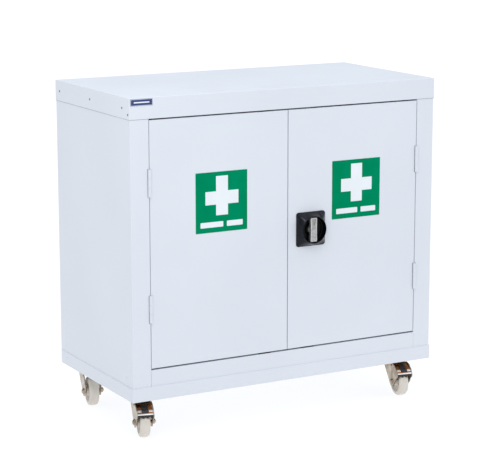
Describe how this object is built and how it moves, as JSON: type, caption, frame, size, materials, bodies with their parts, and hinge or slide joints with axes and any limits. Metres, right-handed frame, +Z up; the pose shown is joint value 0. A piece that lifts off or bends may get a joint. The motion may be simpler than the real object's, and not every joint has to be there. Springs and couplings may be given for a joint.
{
  "type": "wheeled two-door cupboard",
  "caption": "Low white steel cupboard on swivel casters, with double doors, a turning lock handle with key, green first-aid cross signs and a lift-out shelf inside.",
  "frame": {"origin": "on the floor, under the centre of the overall box, lock handle included", "axes": "+Z up, +X to the right for someone facing the doors, the doors face -Y"},
  "size_m": [0.916, 0.4806, 0.89],
  "materials": {
    "white_paint": "cool white powder coat, fine texture, satin",
    "sign_green": "printed vinyl, low gloss",
    "badge_navy": "printed plate, satin",
    "black_plastic": "moulded nylon, gloss",
    "cast_grip": "die-cast zinc, satin grey",
    "key_brass": "nickel-plated barrel",
    "zinc_plate": "bright zinc plating",
    "wheel_nylon": "cream moulded nylon",
    "buffer_rubber": "matte",
    "rivet_metal": "satin"
  },
  "bodies": {
    "carcass": {"back_panel": "white_paint", "badge_plate": "badge_navy", "base_tray": "white_paint", "body_rivets": "rivet_metal", "caster_bolts": "zinc_plate", "caster_plate_back_left": "zinc_plate", "caster_plate_back_right": "zinc_plate", "caster_plate_front_left": "zinc_plate", "caster_plate_front_right": "zinc_plate", "door_buffers": "buffer_rubber", "door_stops": "white_paint", "floor_panel": "white_paint", "hinge_pins": "white_paint", "left_lower_frame_leaf": "white_paint", "left_side_panel": "white_paint", "left_upper_frame_leaf": "white_paint", "lid": "white_paint", "right_lower_frame_leaf": "white_paint", "right_side_panel": "white_paint", "right_upper_frame_leaf": "white_paint", "shelf": "white_paint", "shelf_clips": "zinc_plate", "upright_back_left": "white_paint", "upright_back_right": "white_paint", "upright_front_left": "white_paint", "upright_front_right": "white_paint"},
    "left_door": {"left_door_panel": "white_paint", "left_door_stiffener": "white_paint", "left_sign": "sign_green", "left_upper_door_leaf": "white_paint", "left_lower_door_leaf": "white_paint"},
    "right_door": {"right_door_panel": "white_paint", "right_door_stiffener": "white_paint", "right_sign": "sign_green", "right_upper_door_leaf": "white_paint", "right_lower_door_leaf": "white_paint", "lock_housing": "black_plastic", "rod_guides": "zinc_plate"},
    "handle": {"lock_grip": "cast_grip", "lock_cam": "zinc_plate"},
    "key_barrel": {"key_cylinder": "key_brass"},
    "upper_rod": {"upper_rod": "zinc_plate"},
    "lower_rod": {"lower_rod": "zinc_plate"},
    "swivel_front_left": {"caster_fork_front_left": "zinc_plate", "caster_axle_front_left": "zinc_plate"},
    "wheel_front_left": {"caster_wheel_front_left": "wheel_nylon"},
    "brake_front_left": {"brake_pedal_front_left": "zinc_plate", "brake_insert_front_left": "black_plastic"},
    "swivel_front_right": {"caster_fork_front_right": "zinc_plate", "caster_axle_front_right": "zinc_plate"},
    "wheel_front_right": {"caster_wheel_front_right": "wheel_nylon"},
    "brake_front_right": {"brake_pedal_front_right": "zinc_plate", "brake_insert_front_right": "black_plastic"},
    "swivel_back_left": {"caster_fork_back_left": "zinc_plate", "caster_axle_back_left": "zinc_plate"},
    "wheel_back_left": {"caster_wheel_back_left": "wheel_nylon"},
    "swivel_back_right": {"caster_fork_back_right": "zinc_plate", "caster_axle_back_right": "zinc_plate"},
    "wheel_back_right": {"caster_wheel_back_right": "wheel_nylon"}
  },
  "joints": [
    {"name": "left_door_hinge", "type": "hinge", "parent": "carcass", "child": "left_door", "pos_m": [-0.40175, -0.21985, 0.51], "axis": [0, 0, -1], "range_deg": [0, 170]},
    {"name": "right_door_hinge", "type": "hinge", "parent": "carcass", "child": "right_door", "pos_m": [0.40175, -0.21985, 0.51], "axis": [0, 0, 1], "range_deg": [0, 170]},
    {"name": "handle_turn", "type": "hinge", "parent": "right_door", "child": "handle", "pos_m": [0.069, -0.21835, 0.512], "axis": [0, -1, 0], "range_deg": [0, 90]},
    {"name": "key_turn", "type": "hinge", "parent": "handle", "child": "key_barrel", "pos_m": [0.069, -0.21835, 0.528], "axis": [0, -1, 0], "range_deg": [0, 90]},
    {"name": "upper_rod_slide", "type": "slide", "parent": "right_door", "child": "upper_rod", "axis": [0, 0, 1], "range_m": [0, 0.0142]},
    {"name": "lower_rod_slide", "type": "slide", "parent": "right_door", "child": "lower_rod", "axis": [0, 0, -1], "range_m": [0, 0.0142]},
    {"name": "swivel_front_left", "type": "hinge", "parent": "carcass", "child": "swivel_front_left", "pos_m": [-0.3955, -0.13885, 0.091], "axis": [0, 0, 1], "continuous": true},
    {"name": "roll_front_left", "type": "hinge", "parent": "swivel_front_left", "child": "wheel_front_left", "pos_m": [-0.40542, -0.17345, 0.04], "axis": [0.9613, -0.2756, 0], "continuous": true},
    {"name": "brake_lift_front_left", "type": "hinge", "parent": "swivel_front_left", "child": "brake_front_left", "pos_m": [-0.4046, -0.17057, 0.0865], "axis": [-0.9613, 0.2756, 0], "range_deg": [0, 12]},
    {"name": "swivel_front_right", "type": "hinge", "parent": "carcass", "child": "swivel_front_right", "pos_m": [0.3955, -0.13885, 0.091], "axis": [0, 0, 1], "continuous": true},
    {"name": "roll_front_right", "type": "hinge", "parent": "swivel_front_right", "child": "wheel_front_right", "pos_m": [0.38863, -0.17419, 0.04], "axis": [0.9816, -0.1908, 0], "continuous": true},
    {"name": "brake_lift_front_right", "type": "hinge", "parent": "swivel_front_right", "child": "brake_front_right", "pos_m": [0.3892, -0.17124, 0.0865], "axis": [-0.9816, 0.1908, 0], "range_deg": [0, 12]},
    {"name": "swivel_back_left", "type": "hinge", "parent": "carcass", "child": "swivel_back_left", "pos_m": [-0.3955, 0.18915, 0.091], "axis": [0, 0, 1], "continuous": true},
    {"name": "roll_back_left", "type": "hinge", "parent": "swivel_back_left", "child": "wheel_back_left", "pos_m": [-0.40298, 0.15394, 0.04], "axis": [0.9781, -0.2079, 0], "continuous": true},
    {"name": "swivel_back_right", "type": "hinge", "parent": "carcass", "child": "swivel_back_right", "pos_m": [0.3955, 0.18915, 0.091], "axis": [0, 0, 1], "continuous": true},
    {"name": "roll_back_right", "type": "hinge", "parent": "swivel_back_right", "child": "wheel_back_right", "pos_m": [0.38925, 0.1537, 0.04], "axis": [0.9848, -0.1736, 0], "continuous": true}
  ],
  "couplings": [
    {"joint": "upper_rod_slide", "follows": "handle_turn", "m_per_rad": 0.0090018},
    {"joint": "lower_rod_slide", "follows": "handle_turn", "m_per_rad": 0.0090018}
  ]
}
